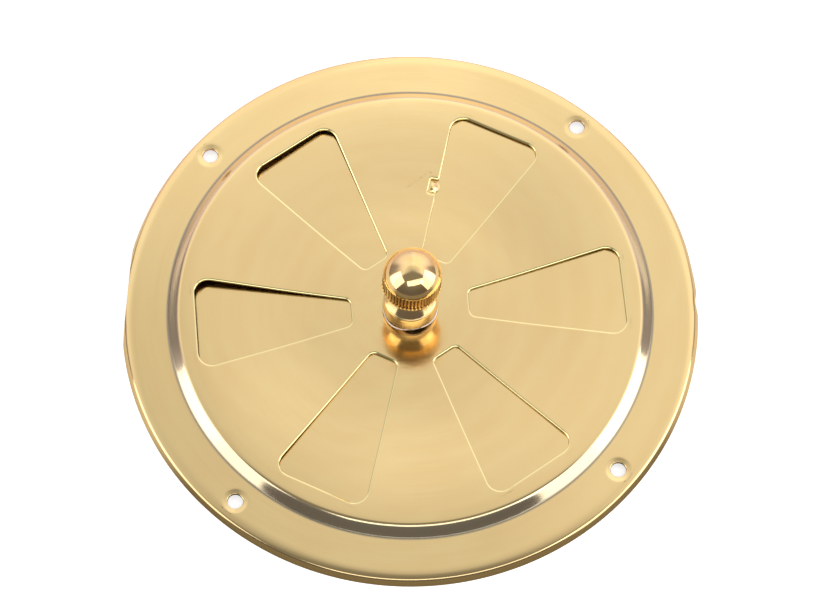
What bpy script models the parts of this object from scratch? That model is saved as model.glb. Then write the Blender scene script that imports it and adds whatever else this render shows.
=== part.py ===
"""Round butterfly ventilator in brass: a pressed face plate with six windows, and a turning shutter
behind it on the spigot of a turned knob.

Metres, +Z up. The origin is the centre of the plane that the rim's edge stands on, which is the face
of the bulkhead or locker door; +Z runs out of the front, along the knob. Window 0 is centred on +X.
The shutter is shown closed. It opens clockwise, seen from the front, about +Z through the origin.
"""
import math

import bmesh
import bpy
from mathutils import Matrix, Vector

# Face plate: one pressing of thin sheet, heights above the rim's plane
OUTER_RADIUS = 0.0635
SHEET = 0.0007
FLANGE_HEIGHT = 0.0020
DISC_HEIGHT = 0.0040
WALL_FOOT_RADIUS = 0.0535
WALL_SLOPE = math.radians(42)
WALL_FILLET = 0.0006
SHOULDER_FILLET = 0.0016
LIP_SLOPE = math.radians(55)
LIP_FILLET = 0.0011
HOLE_CIRCLE_RADIUS = 0.0585
HOLE_RADIUS = 0.0017
HOLE_COUNT = 4

# The strip that the blank came from was a little narrow: it leaves a flat on one side of the rim and
# a short nick on the other. Each is (azimuth, distance from the centre, length)
RIM_CUTS = ((math.radians(171.5), 0.0624, 0.0400), (math.radians(-2.9), 0.0630, 0.0055))

# Windows: wedges with straight sides, a little smaller in the shutter than in the face plate
WINDOW_COUNT = 6
WINDOW_INNER = 0.0130
WINDOW_OUTER = 0.0470
WINDOW_HALF_WIDTH = 0.0001
WINDOW_TAPER = 0.232
WINDOW_INNER_CORNER = 0.0015
WINDOW_OUTER_CORNER = 0.0030

# Stop: a notch in the side of window 1, and the shutter's lug that stands in it
NOTCH_RADIUS = 0.0298
NOTCH_LENGTH = 0.0037
NOTCH_DEPTH = 0.0019
LUG_LENGTH = 0.0030
LUG_WIDTH = 0.0014
LUG_RISE = 0.0009

# Shutter
SHUTTER_RADIUS = 0.0495
SHUTTER_SHEET = 0.0005
SHUTTER_OFFSET = math.radians(30)
SHUTTER_WINDOW_MARGIN = 0.0006

# Knob: heights of its turned features above the face of the disc
COLLAR_RADIUS = 0.0061
COLLAR_FOOT = 0.00185
COLLAR_TOP = 0.0056
COLLAR_EDGE = 0.0004
WAIST_RADIUS = 0.0037
WAIST_HEIGHT = 0.0090
GRIP_RADIUS = 0.00655
GRIP_HEIGHT = 0.0152
GRIP_END = math.radians(-56)
SPIGOT_RADIUS = 0.0030
NECK_ACROSS_FLATS = 0.0046
NECK_SHORT = 0.0001
DRILL_POINT = 0.0009

# Washers, each (inner radius, outer radius, thickness), and screw
WAVE_WASHER = (0.0038, 0.0061, 0.0003)
WAVE_COUNT = 3
WAVE_CREST = math.radians(279)
WAVE_HEIGHT = 0.00045
BACK_WASHER = (0.0018, 0.0055, 0.0003)
LOCK_WASHER = (0.0018, 0.0032, 0.0003)
LOCK_TEETH = 8
LOCK_SLOT = (0.0016, 0.0006)
SCREW_RADIUS = 0.0015
SCREW_LENGTH = 0.0080
SCREW_POINT = 0.0006
SCREW_HEAD_RADIUS = 0.0034
SCREW_HEAD = 0.0009
SCREW_BEVEL = 0.0003
SLOT_WIDTH = 0.0009
SLOT_DEPTH = 0.0005
SLOT_AZIMUTH = math.radians(20)

# Room between pieces that touch
GAP = 0.0003

SHUTTER_TOP = DISC_HEIGHT - SHEET - GAP
SHUTTER_BACK = SHUTTER_TOP - SHUTTER_SHEET
BACK_WASHER_TOP = SHUTTER_BACK - GAP
LOCK_WASHER_TOP = BACK_WASHER_TOP - BACK_WASHER[2] - GAP
SCREW_HEAD_TOP = LOCK_WASHER_TOP - LOCK_WASHER[2] - GAP

# How finely round shapes are divided: once round the plates, the small pieces and the screw holes, and
# along a fillet or a corner, the neck's side, the collar's flare and the grip's dome
PLATE_STEPS = 72
SMALL_STEPS = 32
HOLE_STEPS = 24
FILLET_STEPS = 4
CORNER_STEPS = 6
NECK_STEPS = 8
FLARE_STEPS = 6
DOME_STEPS = 15
MERGE = 0.00001

# How far a cutter reaches past the sheet on each side, and the width of a block that takes off an edge
CUT = 0.004


def remove_all_objects():
    for item in list(bpy.data.objects):
        bpy.data.objects.remove(item, do_unlink=True)


def new_collection(name):
    collection = bpy.data.collections.new(name)
    bpy.context.scene.collection.children.link(collection)
    return collection


def material(name, colour, roughness):
    made = bpy.data.materials.new(name)
    made.use_nodes = True
    shader = made.node_tree.nodes["Principled BSDF"]
    shader.inputs["Base Color"].default_value = (*colour, 1.0)
    shader.inputs["Roughness"].default_value = roughness
    shader.inputs["Metallic"].default_value = 1.0
    made.diffuse_color = (*colour, 1.0)
    return made


def add_object(name, mesh, collection):
    item = bpy.data.objects.new(name, mesh)
    collection.objects.link(item)
    return item


def arc(centre, radius, start, end, count=FILLET_STEPS):
    """Points (r, z) on a circular arc; the angles are measured from +r towards +z."""
    angles = [start + (end - start) * i / count for i in range(count + 1)]
    return [(centre[0] + radius * math.cos(a), centre[1] + radius * math.sin(a)) for a in angles]


def parallel(line, distance):
    """The line of points (r, z) moved to its right by distance, with mitred corners."""
    moved = []
    for i, point in enumerate(line):
        before = Vector(line[max(i - 1, 0)])
        after = Vector(line[min(i + 1, len(line) - 1)])
        here = Vector(point)
        ways = [way.normalized() for way in (here - before, after - here) if way.length > 0]
        normals = [Vector((way.y, -way.x)) for way in ways]
        mitre = sum(normals, Vector((0, 0))).normalized()
        moved.append(tuple(here + mitre * (distance / mitre.dot(normals[0]))))
    return moved


def turned(name, outline, collection, finish=None, steps=SMALL_STEPS):
    """A turned piece: the outline (r, z) runs down its outer side and is spun about Z by a Screw."""
    mesh = bpy.data.meshes.new(name)
    closed = outline[0][0] > 0
    edges = [(i, i + 1) for i in range(len(outline) - 1)]
    if closed:
        edges.append((len(outline) - 1, 0))
    mesh.from_pydata([(r, 0.0, z) for r, z in outline], edges, [])
    item = add_object(name, mesh, collection)
    spin = item.modifiers.new("spin", "SCREW")
    spin.axis = "Z"
    spin.steps = steps
    spin.render_steps = steps
    spin.use_merge_vertices = True
    spin.merge_threshold = MERGE
    spin.use_smooth_shade = True
    if finish:
        mesh.materials.append(finish)
    return item


def ring(name, inner, outer, top, thickness, collection, finish):
    """A flat washer."""
    outline = [(inner, top), (outer, top), (outer, top - thickness), (inner, top - thickness)]
    return turned(name, outline, collection, finish)


def rounded(corners):
    """A closed outline through corners (x, y, fillet radius) given counter-clockwise."""
    points = []
    for i, (x, y, radius) in enumerate(corners):
        here = Vector((x, y))
        back = (Vector(corners[i - 1][:2]) - here).normalized()
        ahead = (Vector(corners[(i + 1) % len(corners)][:2]) - here).normalized()
        half = back.angle(ahead) / 2
        centre = here + (back + ahead).normalized() * (radius / math.sin(half))
        start = here + back * (radius / math.tan(half)) - centre
        turn = math.pi - 2 * half
        for step in range(CORNER_STEPS + 1):
            spoke = Matrix.Rotation(turn * step / CORNER_STEPS, 2) @ start
            points.append(tuple(centre + spoke))
    return points


def flat_solid(name, outline, bottom, top, collection):
    """A flat outline as a filled 2D curve, extruded from bottom to top and made a mesh."""
    curve = bpy.data.curves.new(name, "CURVE")
    curve.dimensions = "2D"
    curve.fill_mode = "BOTH"
    curve.extrude = (top - bottom) / 2
    spline = curve.splines.new("POLY")
    spline.points.add(len(outline) - 1)
    for point, (x, y) in zip(spline.points, outline):
        point.co = (x, y, 0.0, 1.0)
    spline.use_cyclic_u = True
    guide = add_object(name + "_curve", curve, collection)
    bpy.context.view_layer.update()
    evaluated = guide.evaluated_get(bpy.context.evaluated_depsgraph_get())
    mesh = bpy.data.meshes.new_from_object(evaluated)
    bpy.data.objects.remove(guide)
    shape = bmesh.new()
    shape.from_mesh(mesh)
    bmesh.ops.remove_doubles(shape, verts=shape.verts, dist=MERGE)
    shape.to_mesh(mesh)
    shape.free()
    item = add_object(name, mesh, collection)
    item.location.z = (top + bottom) / 2
    return item


def block(name, size, location, azimuth, collection):
    """A box of the given size, centred at location and turned about Z."""
    mesh = bpy.data.meshes.new(name)
    shape = bmesh.new()
    bmesh.ops.create_cube(shape, size=1.0, matrix=Matrix.Diagonal((*size, 1.0)))
    shape.to_mesh(mesh)
    shape.free()
    item = add_object(name, mesh, collection)
    item.location = location
    item.rotation_euler.z = azimuth
    return item


def peg(name, radius, bottom, top, x, y, collection):
    """A round pin along Z."""
    mesh = bpy.data.meshes.new(name)
    shape = bmesh.new()
    bmesh.ops.create_cone(shape, cap_ends=True, segments=HOLE_STEPS, radius1=radius, radius2=radius,
                          depth=top - bottom)
    shape.to_mesh(mesh)
    shape.free()
    item = add_object(name, mesh, collection)
    item.location = (x, y, (top + bottom) / 2)
    return item


def combine(item, tool, operation="DIFFERENCE"):
    """Cut the item with a tool, or join the tool to it; the tool itself is only a guide."""
    tool.hide_render = True
    tool.display_type = "WIRE"
    change = item.modifiers.new(tool.name, "BOOLEAN")
    change.operation = operation
    change.solver = "EXACT"
    change.object = tool


def window_half(distance):
    """Half a window's width at a distance from the centre, along the window's middle line."""
    return WINDOW_HALF_WIDTH + WINDOW_TAPER * distance


def window_outline(margin):
    """A window centred on +X, smaller all round by the margin."""
    start, end = WINDOW_INNER + margin, WINDOW_OUTER - margin
    inner, outer = window_half(start) - margin, window_half(end) - margin
    return rounded([
        (start, -inner, WINDOW_INNER_CORNER),
        (end, -outer, WINDOW_OUTER_CORNER),
        (end, outer, WINDOW_OUTER_CORNER),
        (start, inner, WINDOW_INNER_CORNER),
    ])


def cut_windows(item, bottom, top, offset, margin, cutters):
    for number in range(WINDOW_COUNT):
        name = f"{item.name}_window_{number}"
        cutter = flat_solid(name, window_outline(margin), bottom, top, cutters)
        cutter.rotation_euler.z = offset + number * math.tau / WINDOW_COUNT
        combine(item, cutter)


def on_window_side(distance, clear):
    """A place beside the left side of window 1: distance from the centre along the window's middle
    line, clear of the side by clear. Gives (x, y) and the side's direction."""
    middle = math.tau / WINDOW_COUNT
    lean = math.atan(WINDOW_TAPER)
    across = window_half(distance) + clear / math.cos(lean)
    x = distance * math.cos(middle) - across * math.sin(middle)
    y = distance * math.sin(middle) + across * math.cos(middle)
    return x, y, middle + lean


def face_line():
    """The face plate's outer surface (r, z), from its bore out to the rim's edge."""
    quarter = math.pi / 2
    drop = DISC_HEIGHT - FLANGE_HEIGHT
    fillets = WALL_FILLET + SHOULDER_FILLET
    straight = drop - fillets * (1 - math.cos(WALL_SLOPE))
    run = straight / math.tan(WALL_SLOPE) + fillets * math.sin(WALL_SLOPE)
    shoulder = (WALL_FOOT_RADIUS - run, DISC_HEIGHT - SHOULDER_FILLET)
    foot = (WALL_FOOT_RADIUS, FLANGE_HEIGHT + WALL_FILLET)
    lip_drop = FLANGE_HEIGHT - LIP_FILLET * (1 - math.cos(LIP_SLOPE))
    lip_run = lip_drop / math.tan(LIP_SLOPE) + LIP_FILLET * math.sin(LIP_SLOPE)
    fold = (OUTER_RADIUS - lip_run, FLANGE_HEIGHT - LIP_FILLET)
    line = [(SPIGOT_RADIUS + GAP, DISC_HEIGHT)]
    line += arc(shoulder, SHOULDER_FILLET, quarter, quarter - WALL_SLOPE)
    line += arc(foot, WALL_FILLET, 3 * quarter - WALL_SLOPE, 3 * quarter)
    line += arc(fold, LIP_FILLET, quarter, quarter - LIP_SLOPE)
    line.append((OUTER_RADIUS, 0.0))
    return line


def make_face_plate(parts, cutters):
    """The pressing, cut by its windows, the notch for the lug, the screw holes and the rim cuts."""
    brass = material("face_brass", (0.87, 0.70, 0.39), 0.28)
    outer = face_line()
    inner = parallel(outer, SHEET)
    lean = SHEET / math.sin(LIP_SLOPE)
    inner[-1] = (OUTER_RADIUS - lean, 0.0)
    plate = turned("face_plate", outer + inner[::-1], parts, brass, PLATE_STEPS)
    cut_windows(plate, DISC_HEIGHT - CUT, DISC_HEIGHT + CUT, 0.0, 0.0, cutters)
    x, y, azimuth = on_window_side(NOTCH_RADIUS * math.cos(math.atan(WINDOW_TAPER)), 0.0)
    notch = block("stop_notch", (NOTCH_LENGTH, 2 * NOTCH_DEPTH, CUT), (x, y, DISC_HEIGHT), azimuth,
                  cutters)
    combine(plate, notch)
    for number in range(HOLE_COUNT):
        azimuth = math.tau * (number + 0.5) / HOLE_COUNT
        x = HOLE_CIRCLE_RADIUS * math.cos(azimuth)
        y = HOLE_CIRCLE_RADIUS * math.sin(azimuth)
        hole = peg(f"screw_hole_{number}", HOLE_RADIUS, 0.0, CUT, x, y, cutters)
        combine(plate, hole)
    for number, (azimuth, reach, length) in enumerate(RIM_CUTS):
        middle = reach + CUT / 2
        place = (middle * math.cos(azimuth), middle * math.sin(azimuth), 0.0)
        combine(plate, block(f"rim_cut_{number}", (CUT, length, 4 * CUT), place, azimuth, cutters))
    return plate


def neck_outline(clear):
    """The spigot's end: round, with two flats; clear is the room left round it."""
    radius = SPIGOT_RADIUS + clear
    flat = NECK_ACROSS_FLATS / 2 + clear
    corner = math.asin(flat / radius)
    right = arc((0.0, 0.0), radius, -corner, corner, NECK_STEPS)
    return right + [(-x, -y) for x, y in right]


def make_shutter(parts, cutters):
    """A flat disc with the same windows, a lug pressed up from it and a hole that fits the neck."""
    brass = material("shutter_brass", (0.82, 0.66, 0.38), 0.32)
    outline = [(0.0, SHUTTER_TOP), (SHUTTER_RADIUS, SHUTTER_TOP), (SHUTTER_RADIUS, SHUTTER_BACK),
               (0.0, SHUTTER_BACK)]
    shutter = turned("shutter_plate", outline, parts, brass, PLATE_STEPS)
    cut_windows(shutter, SHUTTER_BACK - CUT, SHUTTER_TOP + CUT, SHUTTER_OFFSET,
                SHUTTER_WINDOW_MARGIN, cutters)
    hole = flat_solid("neck_hole", neck_outline(GAP), SHUTTER_BACK - CUT, SHUTTER_TOP + CUT, cutters)
    combine(shutter, hole)
    along = NOTCH_RADIUS * math.cos(math.atan(WINDOW_TAPER))
    x, y, azimuth = on_window_side(along, NOTCH_DEPTH - GAP - LUG_WIDTH / 2)
    height = LUG_RISE + SHUTTER_SHEET / 2
    middle = SHUTTER_TOP + LUG_RISE - height / 2
    lug = block("stop_lug", (LUG_LENGTH, LUG_WIDTH, height), (x, y, middle), azimuth, cutters)
    combine(shutter, lug, "UNION")
    return shutter


def knob_line():
    """The knob's outline (r, z above the disc) from its crown down, round the spigot and up the bore."""
    quarter = math.pi / 2
    dome = arc((0.0, GRIP_HEIGHT), GRIP_RADIUS, quarter, GRIP_END, DOME_STEPS)
    dome[0] = (0.0, GRIP_HEIGHT + GRIP_RADIUS)
    spread = COLLAR_RADIUS - COLLAR_EDGE - WAIST_RADIUS
    fall = WAIST_HEIGHT - COLLAR_TOP
    turns = [quarter * i / FLARE_STEPS for i in range(FLARE_STEPS + 1)]
    flare = [(WAIST_RADIUS + spread * (1 - math.cos(turn)), WAIST_HEIGHT - fall * math.sin(turn))
             for turn in turns]
    line = dome + flare + [(COLLAR_RADIUS, COLLAR_TOP), (COLLAR_RADIUS, COLLAR_FOOT)]
    neck_end = SHUTTER_BACK + NECK_SHORT - DISC_HEIGHT
    bore = SCREW_RADIUS + GAP
    bore_end = SCREW_HEAD_TOP + SCREW_LENGTH + 2 * GAP - DISC_HEIGHT
    line += [(SPIGOT_RADIUS, COLLAR_FOOT), (SPIGOT_RADIUS, neck_end), (bore, neck_end),
             (bore, bore_end), (0.0, bore_end + DRILL_POINT)]
    return [(r, z + DISC_HEIGHT) for r, z in line]


def make_knob(parts, cutters):
    brass = material("knob_brass", (0.90, 0.68, 0.32), 0.12)
    knob = turned("knob", knob_line(), parts, brass)
    shoulder = SHUTTER_TOP + GAP
    for side in (-1, 1):
        centre = side * (NECK_ACROSS_FLATS / 2 + CUT / 2)
        place = (0.0, centre, shoulder - CUT / 2)
        combine(knob, block(f"neck_flat_{side + 1}", (4 * CUT, CUT, CUT), place, 0.0, cutters))
    return knob


def make_wave_washer(parts):
    """A spring washer with three waves, between the knob's collar and the disc."""
    steel = material("spring_steel", (0.62, 0.62, 0.64), 0.25)
    inner, outer, thickness = WAVE_WASHER
    middle = DISC_HEIGHT + COLLAR_FOOT / 2
    flat = ring("flat_ring", inner, outer, middle + thickness / 2, thickness, parts, steel)
    bpy.context.view_layer.update()
    evaluated = flat.evaluated_get(bpy.context.evaluated_depsgraph_get())
    mesh = bpy.data.meshes.new_from_object(evaluated)
    bpy.data.objects.remove(flat)
    for vertex in mesh.vertices:
        azimuth = math.atan2(vertex.co.y, vertex.co.x)
        vertex.co.z += WAVE_HEIGHT * math.cos(WAVE_COUNT * (azimuth - WAVE_CREST))
    return add_object("wave_washer", mesh, parts)


def make_lock_washer(parts, cutters):
    """A locking washer with teeth round its hole, under the screw's head."""
    steel = material("washer_steel", (0.55, 0.55, 0.57), 0.35)
    inner, outer, thickness = LOCK_WASHER
    washer = ring("lock_washer", inner, outer, LOCK_WASHER_TOP, thickness, parts, steel)
    length, width = LOCK_SLOT
    for number in range(LOCK_TEETH):
        azimuth = number * math.tau / LOCK_TEETH
        place = (inner * math.cos(azimuth), inner * math.sin(azimuth), LOCK_WASHER_TOP)
        combine(washer, block(f"lock_slot_{number}", (length, width, CUT), place, azimuth, cutters))
    return washer


def make_screw(parts, cutters):
    """A slotted screw with a thin head, up through the washers and the shutter into the knob."""
    brass = material("screw_brass", (0.80, 0.62, 0.33), 0.3)
    tip = SCREW_HEAD_TOP + SCREW_LENGTH
    foot = SCREW_HEAD_TOP - SCREW_HEAD
    outline = [(0.0, tip), (SCREW_RADIUS - SCREW_POINT, tip), (SCREW_RADIUS, tip - SCREW_POINT),
               (SCREW_RADIUS, SCREW_HEAD_TOP), (SCREW_HEAD_RADIUS, SCREW_HEAD_TOP),
               (SCREW_HEAD_RADIUS, foot + SCREW_BEVEL), (SCREW_HEAD_RADIUS - SCREW_BEVEL, foot),
               (0.0, foot)]
    screw = turned("spindle_screw", outline, parts, brass)
    size = (4 * SCREW_HEAD_RADIUS, SLOT_WIDTH, 2 * SLOT_DEPTH)
    combine(screw, block("driver_slot", size, (0.0, 0.0, foot), SLOT_AZIMUTH, cutters))
    return screw


def main():
    remove_all_objects()
    parts = new_collection("butterfly_ventilator")
    cutters = new_collection("cutters")
    make_face_plate(parts, cutters)
    soft_brass = material("washer_brass", (0.78, 0.62, 0.34), 0.35)
    turning = [
        make_shutter(parts, cutters),
        make_knob(parts, cutters),
        make_wave_washer(parts),
        ring("back_washer", BACK_WASHER[0], BACK_WASHER[1], BACK_WASHER_TOP, BACK_WASHER[2],
             parts, soft_brass),
        make_lock_washer(parts, cutters),
        make_screw(parts, cutters),
    ]
    axis = bpy.data.objects.new("shutter_axis", None)
    parts.objects.link(axis)
    for item in turning:
        item.parent = axis


main()
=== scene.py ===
import math

import bmesh
import bpy
import numpy as np
from mathutils import Matrix, Vector


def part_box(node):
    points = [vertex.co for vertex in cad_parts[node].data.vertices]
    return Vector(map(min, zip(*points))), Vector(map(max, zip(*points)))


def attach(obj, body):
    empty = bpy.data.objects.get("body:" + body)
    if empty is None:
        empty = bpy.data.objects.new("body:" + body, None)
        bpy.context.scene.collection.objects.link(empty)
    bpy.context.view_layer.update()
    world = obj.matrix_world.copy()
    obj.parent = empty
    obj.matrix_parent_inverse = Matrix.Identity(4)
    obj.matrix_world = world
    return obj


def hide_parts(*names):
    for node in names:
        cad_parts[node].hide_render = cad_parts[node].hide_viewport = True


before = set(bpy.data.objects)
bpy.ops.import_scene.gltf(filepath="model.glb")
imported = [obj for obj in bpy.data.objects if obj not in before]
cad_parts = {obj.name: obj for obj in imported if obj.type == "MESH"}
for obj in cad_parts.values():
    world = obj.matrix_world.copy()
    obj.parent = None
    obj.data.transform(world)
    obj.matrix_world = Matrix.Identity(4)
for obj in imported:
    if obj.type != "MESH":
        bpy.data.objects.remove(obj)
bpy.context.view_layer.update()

# Looks of a round brass butterfly ventilator: six windows in a pressed face plate, and behind it a
# shutter that a knurled knob turns. Lengths are millimetres until a mesh is made.
MM = 0.001


# ---- Face plate ---------------------------------------------------------------------------------
# One pressing of thin brass sheet: a raised disc with six windows, a sloping wall, and a flange with
# four screw holes and an edge turned down onto the bulkhead. Polished in circles, then lacquered.
plate_low, plate_high = (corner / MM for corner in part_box("face_plate"))
RIM = (plate_high.y - plate_low.y) / 2
DISC_TOP = plate_high.z
SHEET = 0.7
FLANGE_TOP = 2.0
WALL_FOOT = 53.5
WALL_SLOPE = math.radians(42)
SHOULDER_BEND = 1.6
FOOT_BEND = 0.6
FLANGE_FLAT_END = 60.7
EASE_SLOPE, EASE_RUN = math.radians(11), 1.6
LIP_SLOPE, LIP_BEND = math.radians(67), 0.85
LIP_LAND = 0.02
FLAT_AZIMUTH, FLAT_DISTANCE = math.radians(171.5), 62.41
NICK_DEGREES, NICK_WIDTH, NICK_DEPTH = -3.2, 2.9, 0.60
SCUFF_DEGREES, SCUFF_WIDTH, SCUFF_DEPTH = 5.0, 6.0, 0.16

WINDOWS = 6
WINDOW_START, WINDOW_END = 13.0, 47.0
HALF_WIDTH, TAPER = 0.1, 0.232
INNER_CORNER, OUTER_CORNER = 1.5, 3.0
NOTCH_DISTANCE, NOTCH_LENGTH, NOTCH_DEPTH = 29.8, 3.7, 1.9
NOTCH_MOUTH, NOTCH_CORNER = 0.45, 0.35
WINDOW_ROLL = (0.30, 0.12)
UNDER_CHAMFER = 0.04
BORE = 3.3
DISH, DISH_START, DISH_END = 0.9, 22, 50
UNEVEN = 0.03

HOLE_CIRCLE, HOLE_RADIUS, HOLES = 58.5, 1.7, 4
HOLE_ROLL, HOLE_ROLL_DROP = 0.25, 0.15
DIMPLE_RADIUS, DIMPLE_DEPTH = 3.0, 0.11

SECTOR_ANGLES = 64
RING_ANGLES = WINDOWS * SECTOR_ANGLES
LINE_POINTS = 4000


def bent_line(start, bends):
    """A line (r, z) traced at a heading that turns evenly along each bend (length, heading at its
    end): r is the running sum of cos(heading), z is the running sum of -sin(heading)."""
    marks = np.cumsum([0.0] + [length for length, heading in bends])
    headings = [0.0] + [heading for length, heading in bends]
    along = np.linspace(0.0, marks[-1], LINE_POINTS)
    heading = np.interp(along, marks, headings)
    middle = (heading[1:] + heading[:-1]) / 2
    step = along[1] - along[0]
    across = start[0] + step * np.concatenate([[0.0], np.cumsum(np.cos(middle))])
    height = start[1] - step * np.concatenate([[0.0], np.cumsum(np.sin(middle))])
    return along, across, height, heading, marks


def pressed_line():
    """The plate's upper side from the end of the flat disc to the lip's edge, by developed length:
    wall, flange, and the lip, which runs on at its slope until it reaches the bulkhead."""
    straight = DISC_TOP - FLANGE_TOP - (SHOULDER_BEND + FOOT_BEND) * (1 - math.cos(WALL_SLOPE))
    wall = straight / math.sin(WALL_SLOPE)
    run = wall * math.cos(WALL_SLOPE) + (SHOULDER_BEND + FOOT_BEND) * math.sin(WALL_SLOPE)
    start = WALL_FOOT - run
    bends = [(SHOULDER_BEND * WALL_SLOPE, WALL_SLOPE), (wall, WALL_SLOPE),
             (FOOT_BEND * WALL_SLOPE, 0.0), (FLANGE_FLAT_END - WALL_FOOT, 0.0),
             (EASE_RUN, EASE_SLOPE), (LIP_BEND * (LIP_SLOPE - EASE_SLOPE), LIP_SLOPE)]
    drop = bent_line((start, DISC_TOP), bends)[2][-1]
    bends.append((drop / math.sin(LIP_SLOPE), LIP_SLOPE))
    return start, bent_line((start, DISC_TOP), bends)


DISC_EDGE, (line_along, line_r, line_z, line_heading, line_marks) = pressed_line()
outward = np.clip((line_r - WALL_FOOT) / (line_r[-1] - WALL_FOOT), 0, 1)
line_r = line_r + (RIM - line_r[-1]) * outward


def smooth(value, low, high):
    """0 below low, 1 above high, and an S-curve between."""
    t = np.clip((value - low) / (high - low), 0.0, 1.0)
    return t * t * (3 - 2 * t)


def hump(value, middle, width):
    """1 at the middle, falling to 0 at the width on either side along a cosine."""
    t = np.clip(np.abs(value - middle) / width, 0.0, 1.0)
    return 0.5 + 0.5 * np.cos(math.pi * t)


ARC_POINTS = 40


def rounded_line(corners):
    """An open line through corners (x, y, radius): each corner becomes the arc that touches both its
    legs. Returns the points, the length at each point, and where each arc starts and ends."""
    spots = np.array([corner[:2] for corner in corners], float)
    ways = np.diff(spots, axis=0)
    ways = ways / np.hypot(ways[:, 0], ways[:, 1])[:, None]
    pieces = [spots[:1]]
    ends = []
    for i in range(1, len(spots) - 1):
        before, after, radius = ways[i - 1], ways[i], corners[i][2]
        cross = before[0] * after[1] - before[1] * after[0]
        turn = math.atan2(cross, before @ after)
        start = spots[i] - before * radius * math.tan(abs(turn) / 2)
        inward = math.copysign(radius, turn) * np.array([-before[1], before[0]])
        angle = np.linspace(0.0, turn, ARC_POINTS)[:, None]
        spoke = np.array([inward[1], -inward[0]]) * np.sin(angle) - inward * np.cos(angle)
        first = sum(len(piece) for piece in pieces)
        pieces.append(start + inward + spoke)
        ends.append((first, first + ARC_POINTS - 1))
    pieces.append(spots[-1:])
    points = np.concatenate(pieces)
    steps = np.hypot(*np.diff(points, axis=0).T)
    lengths = np.concatenate([[0.0], np.cumsum(steps)])
    return points, lengths, [(lengths[a], lengths[b]) for a, b in ends]


def stations(marks, counts):
    """Lengths along a line, evenly spaced between each pair of marks."""
    runs = [np.linspace(a, b, n, endpoint=False) for a, b, n in zip(marks, marks[1:], counts)]
    return np.concatenate(runs + [[marks[-1]]])


# Points on half a window's outline between its marks, and the first and last of its long side.
HALF_COUNTS = (10, 6, 16, 44, 18, 8, 8, 24)
SIDE_START, SIDE_END = 10, 102
NEAR = 0.02


def half_window(margin, notched, grow=0.0):
    """Half of a window's outline, from the middle of its inner side round the left to the middle of
    its outer side, with its normals. The notch is a bay in the left side, and may be grown; both
    forms have the same number of points, so that the plate round them is the same net."""
    start, end = WINDOW_START + margin, WINDOW_END - margin
    lean = math.atan(TAPER)
    along = np.array([math.cos(lean), math.sin(lean)])
    out = np.array([-along[1], along[0]])
    widths = [HALF_WIDTH + TAPER * distance - margin for distance in (start, end)]
    first = (start, widths[0], INNER_CORNER)
    last = (end, widths[1], OUTER_CORNER)
    plain = rounded_line([(start, 0, 0), first, last, (end, 0, 0)])
    (a0, a1), (b0, b1) = plain[2]
    here = np.array(first[:2])
    centre = NOTCH_DISTANCE * math.cos(lean) - start
    middle = centre / math.cos(lean) + HALF_WIDTH * math.sin(lean)
    reach = NOTCH_LENGTH / 2
    near = a1 + middle - reach - NOTCH_MOUTH - INNER_CORNER * math.tan((math.pi / 2 - lean) / 2)
    far = near + NOTCH_LENGTH + 2 * NOTCH_MOUTH
    marks = [0, (a0 + a1) / 2, a1, near, far, b0, (b0 + b1) / 2, b1, plain[1][-1]]
    share = stations(marks, HALF_COUNTS)
    points, lengths, where = plain[0], plain[1], share
    if notched:
        bay = [(*(here + along * (middle + (reach + grow) * side) + out * deep), radius + grow)
               for side, deep, radius in ((-1, 0, NOTCH_MOUTH), (-1, NOTCH_DEPTH + grow, NOTCH_CORNER),
                                          (1, NOTCH_DEPTH + grow, NOTCH_CORNER), (1, 0, NOTCH_MOUTH))]
        points, lengths = rounded_line([(start, 0, 0), first, *bay, last, (end, 0, 0)])[:2]
        extra = lengths[-1] - plain[1][-1]
        longer = [mark + extra * (i > 3) for i, mark in enumerate(marks)]
        longer[3] -= 2 * grow
        longer[4] += 2 * grow
        where = stations(longer, HALF_COUNTS)

    def at(length):
        """The points at lengths along the outline."""
        return np.stack([np.interp(length, lengths, points[:, axis]) for axis in (0, 1)], -1)

    tangent = at(where + NEAR) - at(where - NEAR)
    tangent = tangent / np.hypot(tangent[:, 0], tangent[:, 1])[:, None]
    normal = np.stack([-tangent[:, 1], tangent[:, 0]], -1)
    return at(where), normal, share / share[-1]


def turned_by(points, angle):
    """Points (x, y) turned about the centre."""
    c, s = math.cos(angle), math.sin(angle)
    return np.stack([points[..., 0] * c - points[..., 1] * s,
                     points[..., 0] * s + points[..., 1] * c], -1)


GUIDE = 0.9


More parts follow.
